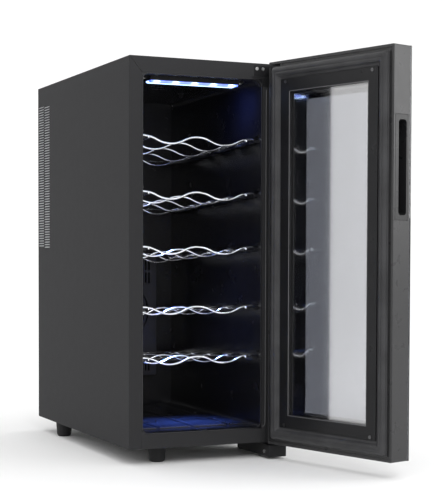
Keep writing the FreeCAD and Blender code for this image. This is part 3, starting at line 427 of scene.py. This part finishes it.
def make_shelf(number, z_mid, material):
    """Five wave wires, two rods under them and a rear wire, with weld beads where they cross."""
    bm = bmesh.new()
    crest = z_mid + WAVE_RISE / 2

    def spot(x, y, z):
        dy, dz = y - WAVE_Y0, z - crest
        return at(x, WAVE_Y0 + dy * math.cos(SHELF_TILT) + dz * math.sin(SHELF_TILT),
                  crest - dy * math.sin(SHELF_TILT) + dz * math.cos(SHELF_TILT))

    rod_z = crest - WIRE_R - ROD_R + WELD_SINK
    line = wave_points(z_mid)
    for i in range(WAVES):
        y = WAVE_Y0 + i * WAVE_STEP
        tube(bm, [spot(x, y, z) for x, z in line], WIRE_R)
        for side in (-1, 1):
            blob(bm, spot(SHELF_X + side * ROD_OFF, y, rod_z + ROD_R), CROSS_WELD)
    for side in (-1, 1):
        x = SHELF_X + side * ROD_OFF
        tube(bm, [spot(x, y, rod_z) for y in (WAVE_Y0 - ROD_NOSE, 90, 170, 250, SHELF_REAR_Y)], ROD_R)
        blob(bm, spot(x, SHELF_REAR_Y - REAR_WIRE_IN, rod_z + ROD_R), REAR_WELD)
    rear = rod_z + ROD_R + WIRE_R - WELD_SINK
    across = (SHELF_X - SHELF_HALF, SHELF_X, SHELF_X + SHELF_HALF)
    tube(bm, [spot(x, SHELF_REAR_Y - REAR_WIRE_IN, rear) for x in across], WIRE_R)
    body, replaced = "shelf_%d" % number, ("wire_shelf_%d" % number,)
    new_piece("shelf_%d_wires" % number, bm, material, body, replaced, 60)


# ---- door seal ------------------------------------------------------------------------------
def seal_profile():
    """(inset, height) of the seal: outer foot, bellows shoulder, crown with a crease, inner lip."""
    return [(SEAL_INSET, 0.0), (SEAL_INSET, 1.6), (9.6, 2.4), (9.4, 3.4), (10.4, 4.9), (12.2, 6.2),
            (14.4, 6.75), (16.6, 6.6), (17.6, 6.0), (18.4, 6.35), (20.0, 6.5), (22.4, 5.8), (23.8, 4.4),
            (24.2, 2.9), (25.6, 2.2), (27.6, 1.5), (28.6, 0.9), (28.7, 0.0)]


def door_frame(bm, loops, corner_steps=6):
    """A closed skin through rounded rectangles on the door, each (x, z0, z1, radius, y)."""
    rings = []
    for x1, z0, z1, r, y in loops:
        ring = []
        corners = ((x1 - r, z1 - r, 0), (-x1 + r, z1 - r, 90), (-x1 + r, z0 + r, 180), (x1 - r, z0 + r, 270))
        for cx, cz, start in corners:
            for k in range(corner_steps + 1):
                a = math.radians(start + 90 * k / corner_steps)
                ring.append(bm.verts.new(on_door(cx + r * math.cos(a), y, cz + r * math.sin(a))))
        rings.append(ring)
    for ring, following in zip(rings, rings[1:] + rings[:1]):
        joined(bm, ring, following)
    bmesh.ops.recalc_face_normals(bm, faces=bm.faces)


def make_seal(material):
    """The soft seal around the door's inner face, its corners tighter towards the inside."""
    bm = bmesh.new()
    loops = []
    for inset, height in seal_profile():
        corner = max(SEAL_CORNER_R - (inset - SEAL_INSET) * 0.22, SEAL_LEAST_R)
        loops.append((HALF_W - inset, DOOR_Z0 + inset, DOOR_Z1 - inset, corner, DOOR_IN + height))
    door_frame(bm, loops)
    new_piece("door_seal", bm, material, "door", ("gasket",), 50)


def make_border(material):
    """The printed border behind the front pane, a hair behind the glass, with rounded inner corners."""
    bm = bmesh.new()
    front, back = DOOR_IN - DOOR_T + BORDER_FRONT, DOOR_IN - DOOR_T + BORDER_BACK
    outside = (HALF_W - BORDER_EDGE, DOOR_Z0 + BORDER_EDGE, DOOR_Z1 - BORDER_EDGE, BORDER_EDGE_R)
    window = (HALF_W - BORDER_WINDOW, WINDOW_Z0, DOOR_Z1 - WINDOW_TOP, WINDOW_R)
    door_frame(bm, [(*outside, front), (*window, front), (*window, back), (*outside, back)])
    new_piece("printed_border", bm, material, "door", ("enamel_border",), 40)


def make_window_bead(material):
    """A thin rounded bead along the edge of the frame around the inner pane; its light grey is a painted
    highlight for the light along that edge.
    """
    bm = bmesh.new()
    edge, low, high = HALF_W - WINDOW_BEAD_INSET, DOOR_Z0 + WINDOW_BEAD_INSET, DOOR_Z1 - WINDOW_BEAD_INSET
    corners = [(edge, low), (edge, high), (-edge, high), (-edge, low)]
    bead_y = DOOR_IN + WINDOW_BEAD_H
    for (xa, za), (xb, zb) in zip(corners, corners[1:] + corners[:1]):
        line = [on_door(xa + (xb - xa) * t, bead_y, za + (zb - za) * t) for t in (0.0, 0.25, 0.5, 0.75, 1.0)]
        tube(bm, line, BEAD_R, BEAD_SIDES)
    new_piece("window_bead", bm, material, "door", (), 60)


def make_rim_bead(material):
    """The liner's outer rim on the hinge side of the flange, turned in at the bottom, as a thin bead; its
    light grey is a painted highlight along the rim's edge.
    """
    bm = bmesh.new()
    rim = OPEN_X1 + RIM_BEAD_OUT
    line = [(OPEN_X1 + 1.5, OPEN_Z0 + 3), (OPEN_X1 + 5.2, OPEN_Z0 + 4.5), (rim, OPEN_Z0 + 8)]
    line += [(rim, z) for z in (120, 220, 320, 420, 500)]
    line += [(rim, OPEN_Z1 - 16.5)]
    tube(bm, [at(x, RIM_BEAD_Y, z) for x, z in line], BEAD_R, BEAD_SIDES)
    new_piece("liner_rim_bead", bm, material, "cabinet", (), 60)


# ---- side louvres ---------------------------------------------------------------------------
def make_louvres(material):
    """Curved vanes inside the side slots, leaning inwards from each slot's lower edge."""
    bm = bmesh.new()
    section = [(0.15, 0.12), (0.45, 0.75), (1.0, 1.35), (1.8, 1.85), (1.8, 2.05), (0.9, 1.6), (0.25, 0.95),
               (0.05, 0.3)]
    for side in (-1, 1):
        for row in range(LOUVRE_ROWS):
            for column, (y0, y1) in enumerate(LOUVRE_COLUMNS):
                z = LOUVRE_Z + row * LOUVRE_PITCH + column * LOUVRE_PITCH / 2
                ends = [[bm.verts.new(at(side * (HALF_W - dx), y, z + dz)) for dx, dz in section]
                        for y in (y0 + 0.2, y0 + 1.2, y1 - 1.2, y1 - 0.2)]
                for ring, following in zip(ends, ends[1:]):
                    joined(bm, ring, following)
                bm.faces.new(ends[0])
                bm.faces.new(list(reversed(ends[-1])))
    bmesh.ops.recalc_face_normals(bm, faces=bm.faces)
    new_piece("side_louvre_vanes", bm, material, "cabinet", (), 40)


# ---- assembly -------------------------------------------------------------------------------
def dress(material, *names):
    """Gives carried-over CAD nodes a material."""
    for name in names:
        mesh = nodes[name].data
        mesh.materials.clear()
        mesh.materials.append(material)


def dress_all():
    coat = painted("cabinet_coat", (0.031, 0.031, 0.0325), rough=(0.5, 0.53), lift=1.08, shine=0.03)
    dark_coat = painted("rear_coat", (0.022, 0.022, 0.023), rough=(0.5, 0.54), lift=1.08, shine=0.15)
    dress(coat, "cabinet_wrap", "base_pan")
    dress(dark_coat, "rear_cover", "lower_hinge_bracket")
    # The upper hinge's bracket, like its cover below, is black partly as painted shade: the shadow in the
    # hinge's recess at the top of the flange.
    dress(moulded("hinge_black_painted_shade", (0.010, 0.010, 0.011), (0.3, 0.4)), "upper_hinge_bracket")
    dress(metal("zinc_sheet", (0.62, 0.63, 0.65), (0.28, 0.45)), "rear_bulkhead")
    dress(metal("screw_zinc", (0.72, 0.72, 0.72), (0.2, 0.35)), "foot_screws", "hinge_screws", "led_screws",
          "fan_screws", "module_screws", "rear_cover_screws")
    dress(metal("screw_black_zinc", (0.16, 0.16, 0.165), (0.25, 0.38)), "retention_screws")
    dress(metal("pin_steel", (0.7, 0.7, 0.72), (0.12, 0.22)), "upper_hinge_pin", "lower_hinge_pin")
    dress(rubber("foot_rubber", (0.018, 0.018, 0.019)), "foot_front_left", "foot_front_right",
          "foot_rear_left", "foot_rear_right")
    liner = moulded("liner_black", (0.008, 0.008, 0.010), (0.22, 0.28), 1500.0, 0.000001, 0.45)
    dress(liner, "inner_liner")
    dress(rigid_foam(), "insulation", "door_foam")
    black = moulded("black_abs", (0.010, 0.010, 0.011))
    # Among these, the black of the upper hinge cover is partly painted shade, for the shadow in the hinge's
    # recess.
    dress(black, "upper_hinge_cover", "lower_hinge_cover", "led_housing", "temperature_sensor",
          "inner_fan_frame", "inner_fan_impeller", "outer_fan_frame", "outer_fan_impeller", "glazing_spacer",
          "mains_inlet")
    dress(moulded("grille_grey", (0.034, 0.034, 0.042)), "fan_cover")
    dress(moulded("frame_black", (0.008, 0.008, 0.009), (0.26, 0.36), shine=0.22), "retention_frame")
    dress(moulded("pull_black", (0.013, 0.013, 0.014), (0.24, 0.34), shine=0.3), "handle_insert")
    dress(lit_diffuser(), "led_lens")
    dress(circuit_board(), "led_board", "power_board", "control_board")
    dress(moulded("phosphor", (0.8, 0.75, 0.3)), "led_chips")
    extruded = metal("extruded_aluminium", (0.78, 0.79, 0.80), (0.3, 0.45), (1, 1, 0.05))
    dress(extruded, "cold_heatsink", "hot_heatsink", "cold_block")
    dress(moulded("alumina", (0.85, 0.85, 0.82)), "thermoelectric_module")
    dress(metal("plated_brass", (0.75, 0.68, 0.48), (0.2, 0.3)), "inlet_pins", "board_pillars")
    dress(moulded("board_parts", (0.05, 0.045, 0.03)), "power_components")
    dress(painted("door_satin", (0.027, 0.027, 0.028), 1200.0, (0.26, 0.34), 1.08, 0.34), "door_shell")
    dress(tinted_glass("inner_pane", (0.87, 0.87, 0.88), 0.30, 0.06), "inner_glass")
    dress(tinted_glass("front_pane", (0.26, 0.275, 0.315)), "front_glass")
    dress(rubber("magnet_strip", (0.03, 0.027, 0.025)), "gasket_magnets")
    dress(moulded("acetal", (0.72, 0.72, 0.68)), "upper_door_bush", "lower_door_bush")


make_camera()
make_studio()
dress_all()
chrome = chrome_wire()
for index, level in enumerate(SHELF_Z, 1):
    make_shelf(index, level, chrome)
make_seal(rubber("seal_vinyl", (0.037, 0.037, 0.039), (0.28, 0.4)))
# The beads' grey is far lighter than the black frame and liner they run along: a painted highlight for the
# light catching those edges.
bead = moulded("bead_grey_painted_highlight", (0.10, 0.10, 0.105), (0.18, 0.28), shine=0.6)
make_window_bead(bead)
make_rim_bead(bead)
make_border(moulded("fired_enamel", (0.006, 0.006, 0.007), (0.12, 0.18), 2500.0, 0.000001))
make_louvres(metal("louvre_zinc", (0.62, 0.63, 0.65), (0.35, 0.5)))
area_light("lamp_down", at(-13, 36, LAMP_Z), at(-13, 86, 25), 0.12, 1.0, (0.10, 0.22, 1.0), 0.012, 17)
area_light("lamp_side", at(35, 38, LAMP_Z), at(95, 62, 500), 0.05, 0.08, (0.12, 0.20, 1.0), 0.014, 110)
area_light("lamp_rear", at(-45, 44, LAMP_Z), at(-66, 352, 190), 0.04, 0.16, (0.22, 0.30, 1.0), 0.014, 22)
